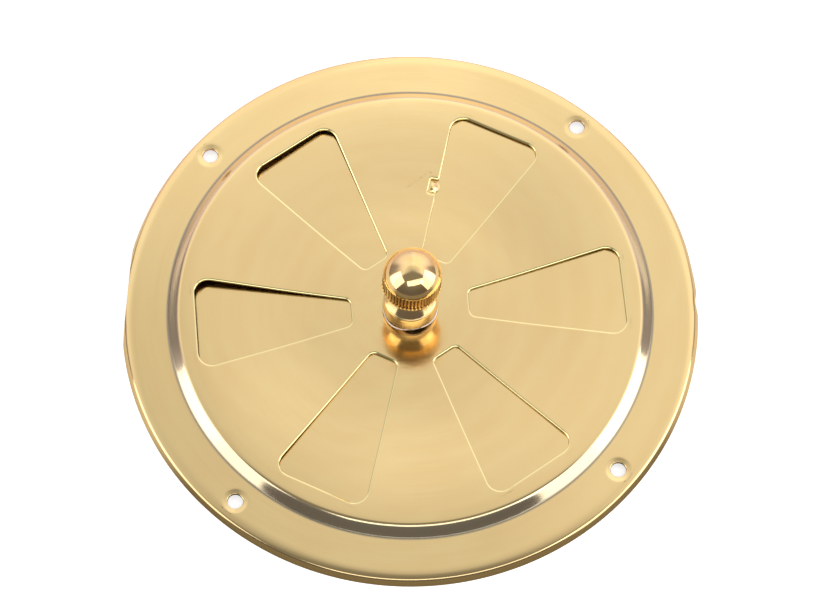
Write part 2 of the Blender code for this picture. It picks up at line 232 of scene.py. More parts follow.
def sector_net(azimuth, margin, notched, bore, edge, roll, top, bottom):
    """A sixth of a windowed disc, as one closed band round its window: ruled from the sector's border
    to a guide line, in to the window on top, over the rolled edge (its drop is its share to the power
    1.7), down the cut and back out underneath. A fourth number on each point weights the highlight
    painted on its rolled edge."""
    half = math.pi / WINDOWS
    left, left_normal = half_window(margin, notched)[:2]
    right, right_normal, plain_share = half_window(margin, False)
    wide, wide_normal = half_window(margin, notched, GUIDE)[:2]
    side = plain_share[SIDE_START:SIDE_END + 1]
    side = (side - side[0]) / (side[-1] - side[0])
    borders = []
    for hand in (1, -1):
        near = hand * np.linspace(0, half, SIDE_START + 1)
        far = hand * np.linspace(half, 0, SECTOR_ANGLES // 2 + 1)
        start = bore(azimuth + near)
        ray = start[-1] + (edge - start[-1]) * side
        reach = np.concatenate([start, ray[1:], np.full(len(far) - 1, edge)])
        turn = np.concatenate([near, np.full(len(ray) - 1, hand * half), far[1:]])
        borders.append(np.stack([reach * np.cos(turn), reach * np.sin(turn)], -1))
    border_left, border_right = borders
    mirror = np.array([1.0, -1.0])
    outline = np.concatenate([left, (right * mirror)[-2:0:-1]])
    normal = np.concatenate([left_normal, (right_normal * mirror)[-2:0:-1]])
    border = np.concatenate([border_left, border_right[-2:0:-1]])
    around = right + right_normal * GUIDE
    guide = np.concatenate([wide + wide_normal * GUIDE, (around * mirror)[-2:0:-1]])
    roll_width, roll_drop = roll
    inside = outline + normal * roll_width
    rows, heights, painted_light_weight = [], [], []
    for v in (1, 0.75, 0.5, 0.25, 0):
        rows.append(guide + (border - guide) * v)
    for v in (0.66, 0.33):
        rows.append(inside + (guide - inside) * v)
    heights += [top] * len(rows)
    painted_light_weight += [0] * len(rows)
    # The rolled edge's rows carry the weight of the highlight painted on it.
    for angle in np.linspace(0, 1, 7):
        rows.append(outline + normal * roll_width * (1 - angle))
        heights.append(top - roll_drop * angle ** 1.7)
        painted_light_weight.append(smooth(angle, 0, 0.4))
    under = outline + normal * UNDER_CHAMFER
    rows += [outline, under, (under + guide) / 2, guide, (guide + border) / 2, border]
    heights += [bottom + UNDER_CHAMFER] + [bottom] * 5
    painted_light_weight += [0] * 6
    flat = turned_by(np.stack(rows), azimuth)
    rest = np.stack([heights, painted_light_weight], -1)[:, None]
    return np.concatenate([flat, np.broadcast_to(rest, flat.shape)], -1)


def turned_net(radii, heights, angles):
    """A surface of revolution: each point (r, z) of a line at each angle; r and z may be grids."""
    radii, heights = np.asarray(radii), np.asarray(heights)
    if radii.ndim == 1:
        radii, heights = radii[:, None], heights[:, None]
    z = np.broadcast_to(heights, np.broadcast_shapes(heights.shape, (1, len(angles))))
    return np.stack([radii * np.cos(angles), radii * np.sin(angles), z + 0 * radii * angles], -1)


JOIN_DISTANCE = 3e-7


def make_piece(name, nets, sharp=38):
    """One mesh from nets of points (rows, columns, 3) in millimetres, each with its wrap flag and,
    where some of its quads are left out, a mask. A fourth number on the points weights the painted
    light that the material puts there: a painted highlight on rolled edges, painted shade in grooves.
    Coincident points are joined, and creases steeper than sharp, in degrees, stay sharp."""
    points, painted_light_weight, faces, first = [], [], [], 0
    for net, wrap, *mask in nets:
        rows, columns = net.shape[:2]
        j = np.arange(columns if wrap else columns - 1)
        a = np.arange(rows - 1)[:, None] * columns + j
        b = np.arange(rows - 1)[:, None] * columns + (j + 1) % columns
        quads = first + np.stack([a, b, b + columns, a + columns], -1)
        faces.append(quads[mask[0]] if mask else quads.reshape(-1, 4))
        points.append(net[..., :3].reshape(-1, 3))
        painted_light_weight.append(net[..., 3].reshape(-1) if net.shape[-1] > 3 else np.zeros(rows * columns))
        first += rows * columns
    mesh = bpy.data.meshes.new(name)
    mesh.from_pydata((np.concatenate(points) * MM).tolist(), [], np.concatenate(faces).tolist())
    # The attribute weights painted light: a painted highlight on rolled edges, painted shade in the
    # knurl's grooves.
    mesh.attributes.new("painted_light_weight", "FLOAT", "POINT").data.foreach_set("value", np.concatenate(painted_light_weight))
    shape = bmesh.new()
    shape.from_mesh(mesh)
    bmesh.ops.remove_doubles(shape, verts=shape.verts, dist=JOIN_DISTANCE)
    bmesh.ops.recalc_face_normals(shape, faces=shape.faces)
    shape.to_mesh(mesh)
    shape.free()
    mesh.shade_smooth()
    mesh.set_sharp_from_angle(angle=math.radians(sharp))
    piece = bpy.data.objects.new(name, mesh)
    bpy.context.scene.collection.objects.link(piece)
    return piece


def plate_wave(x, y):
    """The disc is drawn in towards the knob, along an S-curve of r, and the sheet is slightly uneven
    after pressing: products of slow sines of x and y, strongest between hub and wall."""
    r = np.hypot(x, y)
    dish = DISH * (1 - smooth(r, DISH_START, DISH_END))
    wave = np.sin(0.071 * x + 0.043 * y + 0.6) * np.sin(0.052 * y - 0.038 * x + 1.1)
    wave = wave + 0.5 * np.sin(0.13 * x - 0.09 * y + 2.0) * np.sin(0.11 * x + 0.12 * y)
    return UNEVEN * wave * smooth(r, 8, 20) * (1 - smooth(r, 44, 58)) - dish


def rim_reach(angle):
    """How far the rim reaches at each azimuth: the strip was narrow on the left, which leaves a
    straight edge there, and a short nick with a shallow scuff beside it on the right."""
    degrees = np.degrees(np.arctan2(np.sin(angle), np.cos(angle)))
    flat = FLAT_DISTANCE / np.maximum(np.cos(angle - FLAT_AZIMUTH), 0.5)
    nick = NICK_DEPTH * hump(degrees, NICK_DEGREES, NICK_WIDTH)
    scuff = SCUFF_DEPTH * hump(degrees, SCUFF_DEGREES, SCUFF_WIDTH)
    return np.minimum(np.minimum(flat, RIM), RIM - nick - scuff)


# The flange round each screw hole is a patch of its own: its radii, and half its width in columns.
PATCH_START, PATCH_END, PATCH_ROWS, PATCH_HALF = 54.6, 61.3, 13, 6
WALL_COUNTS, LIP_COUNTS = (9, 3, 9, 2), (5, 9, 4)


def plate_rim_nets():
    """The plate outside its disc: the pressed line swept round, thick as the sheet, its lip cut
    back where the rim is cut; four patches leave room for the screw holes."""
    angles = -math.pi / WINDOWS + np.arange(RING_ANGLES) * math.tau / RING_ANGLES
    m = line_marks
    patch = np.interp(np.linspace(PATCH_START, PATCH_END, PATCH_ROWS), line_r, line_along)
    upper = np.concatenate([stations([0, m[1], m[2], m[3], patch[0]], WALL_COUNTS)[:-1], patch])
    patch_rows = np.arange(len(upper) - len(patch), len(upper) - 1)
    bend_start, bend_end = (m[5:7] - patch[-1]) / (m[7] - patch[-1])
    lip = stations([0, bend_start, bend_end, 1], LIP_COUNTS)[1:]
    last = np.interp(rim_reach(angles), line_r, line_along)
    tail = patch[-1] + lip[:, None] * (last - patch[-1])
    along = np.concatenate([np.repeat(upper[:, None], len(angles), 1), tail])
    r = np.interp(along, line_along, line_r)
    z = np.interp(along, line_along, line_z)
    heading = np.interp(along, line_along, line_heading)
    under_r, under_z = r - SHEET * np.sin(heading), z - SHEET * np.cos(heading)
    under_z = np.maximum(under_z, z[-1:] - LIP_LAND)
    top_net = turned_net(r, z, angles)
    under_net = turned_net(under_r, under_z, angles)[::-1]
    rows, columns = len(along) - 1, len(angles)
    mask = np.ones((rows, columns), bool)
    nets = []
    for number in range(HOLES):
        azimuth = math.tau * (number + 0.5) / HOLES
        middle = int(round((azimuth + math.pi / WINDOWS) / math.tau * RING_ANGLES))
        near = (middle + np.arange(-PATCH_HALF, PATCH_HALF + 1)) % RING_ANGLES
        mask[np.ix_(patch_rows, near[:-1])] = False
        nets.append((hole_net(azimuth, patch, angles[near]), True))
    nets.append((top_net, True, mask))
    nets.append((under_net, True, mask[::-1]))
    nets.append((np.stack([top_net[-1], under_net[0]]), True))
    return nets


def hole_net(azimuth, patch, angles):
    """The flange round one screw hole: ruled from the patch's border in to a shallow dimple, over
    the hole's rolled edge (a quarter of an ellipse), through, and back out underneath."""
    r = np.interp(patch, line_along, line_r)
    n = len(angles) - 1
    corner_r = np.concatenate([np.full(n, r[0]), r[:-1], np.full(n, r[-1]), r[:0:-1]])
    corner_a = np.concatenate([angles[:-1], np.full(n, angles[-1]), angles[:0:-1],
                               np.full(n, angles[0])])
    border = np.stack([corner_r * np.cos(corner_a), corner_r * np.sin(corner_a)], -1)
    centre = HOLE_CIRCLE * np.array([math.cos(azimuth), math.sin(azimuth)])
    ways = border - centre
    bearing = np.unwrap(np.arctan2(ways[:, 1], ways[:, 0]))
    ring = np.stack([np.cos(bearing), np.sin(bearing)], -1)
    rows, drops = [border], [0.0]
    for v in (0.7, 0.4, 0.15):
        rows.append(centre + ring * DIMPLE_RADIUS * 1.05 * (1 - v) + ways * v)
        drops.append(0.0)
    for radius in np.linspace(DIMPLE_RADIUS, HOLE_RADIUS + HOLE_ROLL, 8):
        rows.append(centre + ring * radius)
        drops.append(DIMPLE_DEPTH * (1 - smooth(radius, HOLE_RADIUS + 0.1, DIMPLE_RADIUS)))
    for angle in np.linspace(0, math.pi / 2, 5)[1:]:
        rows.append(centre + ring * (HOLE_RADIUS + HOLE_ROLL * (1 - math.sin(angle))))
        drops.append(DIMPLE_DEPTH + HOLE_ROLL_DROP * (1 - math.cos(angle)))
    flat = np.stack(rows)
    level = np.interp(np.hypot(flat[..., 0], flat[..., 1]), line_r, line_z)
    upper = np.concatenate([flat, (level - np.array(drops)[:, None])[..., None]], -1)
    lower = upper[::-1].copy()
    lower[..., 2] = level[::-1] - SHEET - 0.6 * np.array(drops)[::-1][:, None]
    reach = np.hypot(border[:, 0], border[:, 1])
    heading = np.interp(reach, line_r, line_heading)
    shrink = (reach - SHEET * np.sin(heading)) / reach
    lower[-1, :, :2] = border * shrink[:, None]
    lower[-1, :, 2] = np.interp(reach, line_r, line_z) - SHEET * np.cos(heading)
    return np.concatenate([upper, lower])


def round_bore(angle):
    """The bore's radius, the same at every angle."""
    return np.full(np.shape(angle), BORE)


def waved(net, wave):
    """A net with its heights moved by a function of x and y."""
    moved = net.copy()
    moved[..., 2] += wave(net[..., 0], net[..., 1])
    return moved


plate_nets = []
for number in range(WINDOWS):
    net = sector_net(number * math.tau / WINDOWS, 0.0, number == 1, round_bore, DISC_EDGE,
                     WINDOW_ROLL, DISC_TOP, DISC_TOP - SHEET)
    plate_nets.append((waved(net, plate_wave), True))
bore_angles = np.linspace(-30, 30, 2 * SIDE_START + 1)[:-1][None] + 60 * np.arange(WINDOWS)[:, None]
bore_angles = np.radians(bore_angles.reshape(-1))
hub = turned_net([BORE, BORE], [DISC_TOP, DISC_TOP - SHEET], bore_angles)
plate_nets.append((waved(hub, plate_wave), True))
for net, wrap, *mask in plate_rim_nets():
    plate_nets.append((waved(net, plate_wave), wrap, *mask))
face_plate = make_piece("brass_face_plate", plate_nets)
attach(face_plate, "face")
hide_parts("face_plate")


class Signal:
    """A socket of a material written like a number: an expression on it adds its Math nodes."""

    def __init__(self, tree, socket=None):
        self.tree = tree
        self.socket = socket

    def node(self, kind, settings, inputs, output=0):
        """Any other node: its settings are set first, then the values or links of its sockets."""
        made = self.tree.nodes.new(kind)
        for name, value in settings.items():
            setattr(made, name, value)
        for name, value in inputs.items():
            if isinstance(value, Signal):
                self.tree.links.new(value.socket, made.inputs[name])
            else:
                made.inputs[name].default_value = value
        return Signal(self.tree, made.outputs[output] if made.outputs else None)

    def math(self, operation, *values):
        """A Math node on the values."""
        return self.node("ShaderNodeMath", {"operation": operation}, dict(enumerate(values)))

    def __add__(self, other):
        return self.math("ADD", self, other)

    def __radd__(self, other):
        return self.math("ADD", other, self)

    def __sub__(self, other):
        return self.math("SUBTRACT", self, other)

    def __rsub__(self, other):
        return self.math("SUBTRACT", other, self)

    def __mul__(self, other):
        return self.math("MULTIPLY", self, other)

    def __rmul__(self, other):
        return self.math("MULTIPLY", other, self)

    def __truediv__(self, other):
        return self.math("DIVIDE", self, other)

    def blend(self, low, high):
        """A colour between two colours, by this signal."""
        return self.node("ShaderNodeMix", {"data_type": "RGBA"}, {0: self, 6: low, 7: high}, 2)

    def ease(self, low, high, start=0.0, end=1.0):
        """start below low, end above high, and an S-curve between."""
        return self.node("ShaderNodeMapRange", {"interpolation_type": "SMOOTHSTEP"},
                         {0: self, 1: low, 2: high, 3: start, 4: end})

    def noise(self, scale, detail=2.0, roughness=0.5):
        """Noise of about 0 to 1 at the place this signal gives."""
        return self.node("ShaderNodeTexNoise", {}, {"Vector": self, "Scale": scale, "Detail": detail,
                                                    "Roughness": roughness})


def new_material(name):
    """An empty material, and the signal that its nodes start from."""
    made = bpy.data.materials.new(name)
    made.use_nodes = True
    made.node_tree.nodes.clear()
    return made, Signal(made.node_tree)


def finish_material(made, shader):
    """The material with its shader joined to its output."""
    shader.node("ShaderNodeOutputMaterial", {}, {"Surface": shader})
    return made


def place_parts(start):
    """The place on the piece in millimetres as a vector, then x, y, z and the distance r from Z."""
    place = start.node("ShaderNodeTexCoord", {}, {}, 3)
    place = start.node("ShaderNodeVectorMath", {"operation": "SCALE"}, {0: place, "Scale": 1 / MM})
    x, y, z = (start.node("ShaderNodeSeparateXYZ", {}, {0: place}, axis) for axis in range(3))
    square = x * x + y * y + 0.0001
    return place, x, y, z, square.math("SQRT", square)


def circular_grain(start, x, y, r, fine, arc):
    """Noise drawn out along circles about Z: read at (r by fine, direction by arc)."""
    spot = start.node("ShaderNodeCombineXYZ", {}, {0: r * fine, 1: x / r * arc, 2: y / r * arc})
    return spot.noise(1.0, 5.0, 0.62)


LACQUERED = (0.955, 0.735, 0.37, 1)
WARM_PATCH = (0.93, 0.68, 0.33, 1)
# Painted highlight: the paler colour of the windows' rolled edges.
PAINTED_EDGE_HIGHLIGHT = (1.0, 0.92, 0.46, 1)
PALE_WALL = (0.90, 0.76, 0.50, 1)
# Painted shade: a dull grey line in the foot of the wall, placed by CORNER_RADIUS and CORNER_SPREAD.
PAINTED_CORNER_SHADE = (0.30, 0.285, 0.25, 1)
BLACK = (0, 0, 0, 1)
FACE_GLOSS = 0.085
CORNER_RADIUS, CORNER_SPREAD = WALL_FOOT - 0.15, 0.50
WALL_WIDTH, WALL_FADE_IN, WALL_FADE_OUT = 2.7, 0.8, 0.4
# Painted shade: the brass is darker towards the front, and on the right towards the back instead.
PAINTED_SHADE_FRONT_Y, PAINTED_SHADE_FRONT_LEVEL, PAINTED_SHADE_BACK_Y = -5.0, 0.885, 48.0
RIGHT_START, RIGHT_FULL = 8.0, 42.0
RIGHT_FRONT, RIGHT_FRONT_SHADE = -45.0, 0.99
RIGHT_BACK, RIGHT_BACK_SHADE = 35.0, 0.89


def polished_sheet(name, light, warm, rough, corner=None):
    """Brass sheet polished on a wheel in circles: fine circular grain in gloss, colour and relief,
    slow warm mottling, a painted highlight on the rolled edges, and where a corner (radius, spread) is
    given, a paler wall and a dull grey line of painted shade in the wall's foot. Painted shade also
    darkens the colour towards the front, and on the right towards the back."""
    made, start = new_material(name)
    place, x, y, z, r = place_parts(start)
    fine = circular_grain(start, x, y, r, 2.6, 2.2)
    broad = circular_grain(start, x, y, r, 0.45, 1.6)
    patch = place.noise(0.045, 3.0, 0.55)
    swirl = start.node("ShaderNodeCombineXYZ", {}, {0: x + 9.0, 1: y - 6.0, 2: z})
    swirl = swirl.node("ShaderNodeTexWave", {"wave_type": "RINGS", "rings_direction": "Z"},
                       {"Vector": swirl, "Scale": 0.05, "Distortion": 6.0, "Detail": 3.0,
                        "Detail Scale": 0.9}, 1)
    tone = patch.ease(0.32, 0.68) * 0.45 + broad.ease(0.3, 0.7) * 0.3 + swirl * 0.25
    colour = tone.blend(light, warm)
    gloss = rough + 0.05 * fine.ease(0.35, 0.75) + 0.03 * patch.ease(0.4, 0.7)
    # Painted highlight on the rolled edges, by the weight that the mesh carries.
    painted_light_weight = start.node("ShaderNodeAttribute", {"attribute_name": "painted_light_weight"}, {}, 2)
    colour = painted_light_weight.blend(colour, PAINTED_EDGE_HIGHLIGHT)
    if corner:
        foot, spread = corner
        head = foot - WALL_WIDTH
        wall = r.ease(head, head + WALL_FADE_IN) * (1 - r.ease(foot - WALL_FADE_OUT, foot))
        colour = wall.blend(colour, PALE_WALL)
        # Painted shade: the grey line along the wall's foot, which is also made rougher.
        dull = (r - foot).math("ABSOLUTE", r - foot).ease(spread, 0.0)
        dull = dull * (0.75 + 0.25 * fine)
        colour = dull.blend(colour, PAINTED_CORNER_SHADE)
        gloss = gloss + dull * 0.3
    # Painted shade by place: darker towards the front, and on the right towards the back.
    shade = y.ease(PAINTED_SHADE_FRONT_Y, PAINTED_SHADE_BACK_Y, PAINTED_SHADE_FRONT_LEVEL, 1.0)
    right = y.ease(RIGHT_FRONT, RIGHT_BACK, RIGHT_FRONT_SHADE, RIGHT_BACK_SHADE)
    shade = shade + (right - shade) * x.ease(RIGHT_START, RIGHT_FULL)
    colour = shade.blend(BLACK, colour)
    height = fine * 0.6 + broad
    bump = start.node("ShaderNodeBump", {}, {"Strength": 0.035, "Distance": 0.0002, "Height": height})
    shader = start.node("ShaderNodeBsdfPrincipled", {}, {
        "Base Color": colour, "Metallic": 1.0, "Roughness": gloss, "Normal": bump,
        "Anisotropic": 0.55, "Anisotropic Rotation": 0.25})
    return finish_material(made, shader)


face_plate.data.materials.append(
    polished_sheet("face_brass_finish", LACQUERED, WARM_PATCH, FACE_GLOSS,
                   (CORNER_RADIUS, CORNER_SPREAD)))


# ---- Shutter ------------------------------------------------------------------------------------
# A flat disc of thinner brass sheet with the same six windows, half a window round so that it shuts
# them. It is keyed to the knob's neck, and it has dropped away from the face on one side. A tongue
# cut and pressed up from it runs in the face plate's notch and stops the turn.
shutter_low, shutter_high = (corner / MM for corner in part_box("shutter_plate"))
SHUTTER_EDGE = (shutter_high.y - shutter_low.y) / 2
SHUTTER_BACK = shutter_low.z
SHUTTER_SHEET = 0.5
SHUTTER_TOP = SHUTTER_BACK + SHUTTER_SHEET
SHUTTER_ROLL = (0.2, 0.15)
SHUTTER_EDGE_ROUND = 0.25
SHUTTER_NET_EDGE = SHUTTER_EDGE - 0.3
SHUTTER_MARGIN = 0.6
NECK_HOLE, NECK_FLAT = 3.3, 2.6
DROP_AZIMUTH, DROP = math.radians(161), 1.65
SHUTTER_DISH, SHUTTER_UNEVEN = 0.6, 0.035
TONGUE_LENGTH, TONGUE_REACH, TONGUE_BOW = 3.0, 2.1, 0.35
TONGUE_INSET = 0.45
TONGUE_RISE = (shutter_high.z - SHUTTER_TOP) * 0.75
TONGUE_THICK = SHUTTER_SHEET * 0.9
SHUTTER_LIGHT, SHUTTER_WARM = (0.965, 0.735, 0.37, 1), (0.94, 0.69, 0.33, 1)
SHUTTER_GLOSS = 0.12


def keyed_bore(angle):
    """A round hole with two flats across Y."""
    return np.minimum(NECK_HOLE, NECK_FLAT / np.maximum(np.abs(np.sin(angle)), 1e-6))


def shutter_wave(x, y):
    """The shutter's warp: it is drawn in like the face plate, it drops away on one side (by the share
    of the radius on that side to the power 1.5), and sines of x and y leave it a little uneven."""
    side = (x * math.cos(DROP_AZIMUTH) + y * math.sin(DROP_AZIMUTH)) / SHUTTER_EDGE
    drop = DROP * np.clip(side, 0, None) ** 1.5
    r = np.hypot(x, y)
    wave = np.sin(0.09 * x + 1.3) * np.sin(0.08 * y + 0.4) + 0.4 * np.sin(0.17 * x - 0.12 * y)
    dish = SHUTTER_DISH * (1 - smooth(r, DISH_START, DISH_END))
    return SHUTTER_UNEVEN * wave * smooth(r, 6, 20) - drop - dish


shutter_nets = []
for number in range(WINDOWS):
    azimuth = (number + 0.5) * math.tau / WINDOWS
    net = sector_net(azimuth, SHUTTER_MARGIN, False, keyed_bore, SHUTTER_NET_EDGE, SHUTTER_ROLL,
                     SHUTTER_TOP, SHUTTER_BACK)
    shutter_nets.append((waved(net, shutter_wave), True))
angles = bore_angles + math.pi / WINDOWS
bore = keyed_bore(angles)[None]
hub = turned_net(np.concatenate([bore, bore]), np.array([[SHUTTER_TOP], [SHUTTER_BACK]]), angles)
shutter_nets.append((waved(hub, shutter_wave), True))
angles = np.arange(RING_ANGLES) * math.tau / RING_ANGLES
turn = np.linspace(-math.pi / 2, math.pi / 2, 9)[::-1]
edge_r = SHUTTER_EDGE - SHUTTER_EDGE_ROUND + SHUTTER_EDGE_ROUND * np.cos(turn)
edge_z = SHUTTER_BACK + SHUTTER_SHEET / 2 * (1 + np.sin(turn))
edge_r = np.concatenate([[SHUTTER_NET_EDGE], edge_r, [SHUTTER_NET_EDGE]])
edge_z = np.concatenate([[SHUTTER_TOP], edge_z, [SHUTTER_BACK]])
shutter_nets.append((waved(turned_net(edge_r, edge_z, angles), shutter_wave), True))


def tongue_net():
    """The stop tongue: from the blend with the sheet (u = 0) it climbs to its cut edge (u = 1), which
    is bowed in plan; it is arched across its length, and closed underneath and at its rim."""
    lean = math.atan(TAPER)
    middle = math.tau / WINDOWS
    along = np.array([math.cos(middle + lean), math.sin(middle + lean)])
    out = np.array([-along[1], along[0]])
    distance = NOTCH_DISTANCE * math.cos(lean)
    across = HALF_WIDTH + TAPER * distance
    root = turned_by(np.array([distance, across]), middle) + out * (NOTCH_DEPTH - TONGUE_INSET)
    u = np.linspace(0, 1, 24)[:, None]
    v = np.sin(np.linspace(-math.pi / 2, math.pi / 2, 41))[None]
    bow = np.sqrt(np.clip(1 - 0.85 * v * v, 0, 1))
    reach = -TONGUE_REACH * (1 - u) * bow + TONGUE_BOW * (bow - 1)
    side = TONGUE_LENGTH / 2 * v * (0.92 + 0.08 * u)
    rise = TONGUE_RISE * (0.5 - 0.5 * np.cos(math.pi * u ** 0.9)) * np.sqrt(np.clip(1 - v ** 2, 0, 1))
    flat = root + reach[..., None] * out + side[..., None] * along
    top = np.concatenate([flat, (SHUTTER_TOP + 0.01 + rise)[..., None]], -1)
    low = top.copy()
    low[..., 2] -= TONGUE_THICK
    border = [np.concatenate([net[:, 0], net[-1, 1:], net[-2::-1, -1], net[0, -2:0:-1]])
              for net in (top, low)]
    return [(top, False), (low[::-1], False), (np.stack(border), True)]


for net, wrap in tongue_net():
    shutter_nets.append((waved(net, shutter_wave), wrap))
shutter = make_piece("brass_shutter", shutter_nets)
shutter.data.materials.append(
    polished_sheet("shutter_brass_finish", SHUTTER_LIGHT, SHUTTER_WARM, SHUTTER_GLOSS))
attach(shutter, "rotor")
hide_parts("shutter_plate")


# ---- Knob ---------------------------------------------------------------------------------------
# Turned from brass bar in one piece with its spigot: a dome, a grip with a straight knurl round it, a
# waist, and a flared collar. It stands a little out of square. The screw holds it from behind.
knob_low, knob_high = (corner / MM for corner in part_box("knob"))
HUB_TOP = DISC_TOP - DISH
GRIP_RADIUS, DOME_RADIUS, DOME_HEIGHT = 6.33, 6.6, 6.0
DOME_CENTRE = knob_high.z - DOME_HEIGHT
COLLAR_RADIUS, COLLAR_FOOT, COLLAR_TOP, COLLAR_DRAFT = 6.1, HUB_TOP + 1.75, HUB_TOP + 5.65, 0.33
COLLAR_TOP_ROUND, COLLAR_FOOT_ROUND = 0.3, 0.2
WAIST_RADIUS, WAIST_HEIGHT = 3.75, HUB_TOP + 8.0
GRIP_END_RADIUS, GRIP_END_HEIGHT, GRIP_ROUND = 6.45, HUB_TOP + 13.0, 0.25
KNURL_START, KNURL_END = HUB_TOP + 13.2, HUB_TOP + 18.5
KNURL_RUN_IN, KNURL_RUN_OUT = 0.35, 0.5
TEETH, TOOTH_STEPS, TOOTH_DEPTH, TOOTH_FLANK = 50, 10, 0.42, 1.25
SPIGOT_RADIUS, NECK_HALF, NECK_SHOULDER = 3.0, 2.3, 0.3
LEAN_AZIMUTH, LEAN = math.radians(-32), math.tan(math.radians(2.2))
# The third colour is painted shade for the knurl's grooves.
KNOB_LIGHT, KNOB_WARM, PAINTED_GROOVE_SHADE = (0.96, 0.72, 0.36, 1), (0.94, 0.66, 0.29, 1), (0.50, 0.28, 0.09, 1)
KNOB_GLOSS, COLLAR_MATT, FLARE_MATT = 0.06, 0.13, 0.04
POLISHED_FROM, POLISHED_TO = COLLAR_FOOT + 4.5, COLLAR_FOOT + 7.5
KNOB_SHARP = 44


def edge_arc(corner, radius, turn, side):
    """A quarter circle that rounds a corner (r, z): side is 1 at a top edge, -1 at a bottom edge."""
    return np.array(corner) + radius * np.stack([np.cos(turn) - 1, side * (np.sin(turn) - 1)], -1)


def knob_line():
    """The knob's outline (r, z) from its crown down: the dome is a quarter of an ellipse, each other
    part falls evenly in z while r follows a power of the fall, and the edges are quarter circles."""
    turn = np.linspace(math.pi / 2, math.acos(GRIP_RADIUS / DOME_RADIUS), 56)
    dome = np.stack([DOME_RADIUS * np.cos(turn), DOME_CENTRE + DOME_HEIGHT * np.sin(turn)], -1)
    dome[0, 0] = 0.0
    fall = np.concatenate([[0.01], np.linspace(0, 1, 32)[1:]])[:, None]
    low = GRIP_END_HEIGHT + GRIP_ROUND
    side = dome[-1] + fall ** [2, 1] * (np.array([GRIP_END_RADIUS, low]) - dome[-1])
    turn = np.linspace(0, math.pi / 2, 8)[1:]
    under = edge_arc((GRIP_END_RADIUS, GRIP_END_HEIGHT), GRIP_ROUND, turn, -1)
    fall = np.linspace(0, 1, 14)[1:, None]
    start = np.array([GRIP_END_RADIUS - GRIP_ROUND, GRIP_END_HEIGHT])
    neck = start + (np.array([WAIST_RADIUS, WAIST_HEIGHT]) - start) * fall ** [0.6, 1.4]
    lip = COLLAR_RADIUS - COLLAR_DRAFT
    fall = np.linspace(0, 1, 22)[1:, None]
    flare = neck[-1] + fall ** [1.2, 1] * (np.array([lip - COLLAR_TOP_ROUND, COLLAR_TOP]) - neck[-1])
    turn = np.linspace(math.pi / 2, 0, 7)[1:]
    shoulder = edge_arc((lip, COLLAR_TOP), COLLAR_TOP_ROUND, turn, 1)
    turn = np.linspace(0, math.pi / 2, 6)
    foot = edge_arc((COLLAR_RADIUS, COLLAR_FOOT), COLLAR_FOOT_ROUND, turn, -1)
    return np.concatenate([dome, side, under, neck, flare, shoulder, foot])


def knob_nets():
    """The outline swept round, its radius cut by V-grooves along the knurled band, and leaning from
    the collar up; then the spigot, whose end has two flats. The fourth number is the groove's depth."""
    line = knob_line()
    angles = np.arange(TEETH * TOOTH_STEPS) * math.tau / (TEETH * TOOTH_STEPS)
    phase = (angles * TEETH / math.tau) % 1.0
    groove = np.clip(1 - np.abs(2 * phase - 1) * TOOTH_FLANK, 0, 1)
    band = smooth(line[:, 1], KNURL_START, KNURL_START + KNURL_RUN_IN)
    band = band * (1 - smooth(line[:, 1], KNURL_END - KNURL_RUN_OUT, KNURL_END))
    cut = band[:, None] * groove
    body = turned_net(line[:, :1] - TOOTH_DEPTH * cut, line[:, 1:], angles)
    sway = LEAN * np.clip(body[..., 2:] - COLLAR_TOP, 0, None)
    body[..., :2] += sway * np.array([math.cos(LEAN_AZIMUTH), math.sin(LEAN_AZIMUTH)])
    body = np.concatenate([body, cut[..., None]], -1)
    flat = np.minimum(SPIGOT_RADIUS, NECK_HALF / np.maximum(np.abs(np.sin(angles)), 1e-6))
    shoulder = SHUTTER_TOP - SHUTTER_DISH + NECK_SHOULDER
    end = knob_low.z - SHUTTER_DISH
    full = np.full(len(angles), SPIGOT_RADIUS)
    radii = np.stack([full, full, flat, flat, 0 * full])
    heights = np.array([COLLAR_FOOT, shoulder, shoulder, end, end])[:, None]
    spigot = turned_net(radii, heights, angles)
    spigot = np.concatenate([spigot, 0 * spigot[..., :1]], -1)
    return [(np.concatenate([body, spigot]), True)]


def turned_brass(name, light, warm, rough):
    """Brass off the lathe: fine rings of tool marks round Z that fade towards the polished grip, a
    duller collar, a warm tint in patches, and brown painted shade in the knurl's grooves."""
    made, start = new_material(name)
    place, x, _, z, r = place_parts(start)
    spot = start.node("ShaderNodeCombineXYZ", {}, {0: r * 1.5, 1: z * 5.0, 2: x / r * 0.2})
    rings = spot.noise(1.0, 4.0, 0.65)
    patch = place.noise(0.35, 3.0)
    above = z.ease(POLISHED_FROM, POLISHED_TO)
    marks = rings * (1 - above * 0.85)
    groove = start.node("ShaderNodeAttribute", {"attribute_name": "painted_light_weight"}, {}, 2)
    colour = patch.ease(0.35, 0.65).blend(light, warm)
    # Painted shade: the knurl's grooves are coloured dark brown by their depth.
    colour = groove.ease(0.1, 0.9).blend(colour, PAINTED_GROOVE_SHADE)
    matt = z.ease(COLLAR_TOP - 0.4, COLLAR_TOP + 0.1, COLLAR_MATT, FLARE_MATT) * (1 - above)
    gloss = rough + 0.08 * marks.ease(0.3, 0.7) + 0.03 * patch + matt
    bump = start.node("ShaderNodeBump", {}, {"Strength": 0.16, "Distance": 0.0001, "Height": marks})
    shader = start.node("ShaderNodeBsdfPrincipled", {}, {
        "Base Color": colour, "Metallic": 1.0, "Roughness": gloss, "Normal": bump})
    return finish_material(made, shader)


knob = make_piece("knurled_knob", knob_nets(), KNOB_SHARP)
knob.data.materials.append(turned_brass("knob_brass_finish", KNOB_LIGHT, KNOB_WARM, KNOB_GLOSS))
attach(knob, "rotor")
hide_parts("knob")


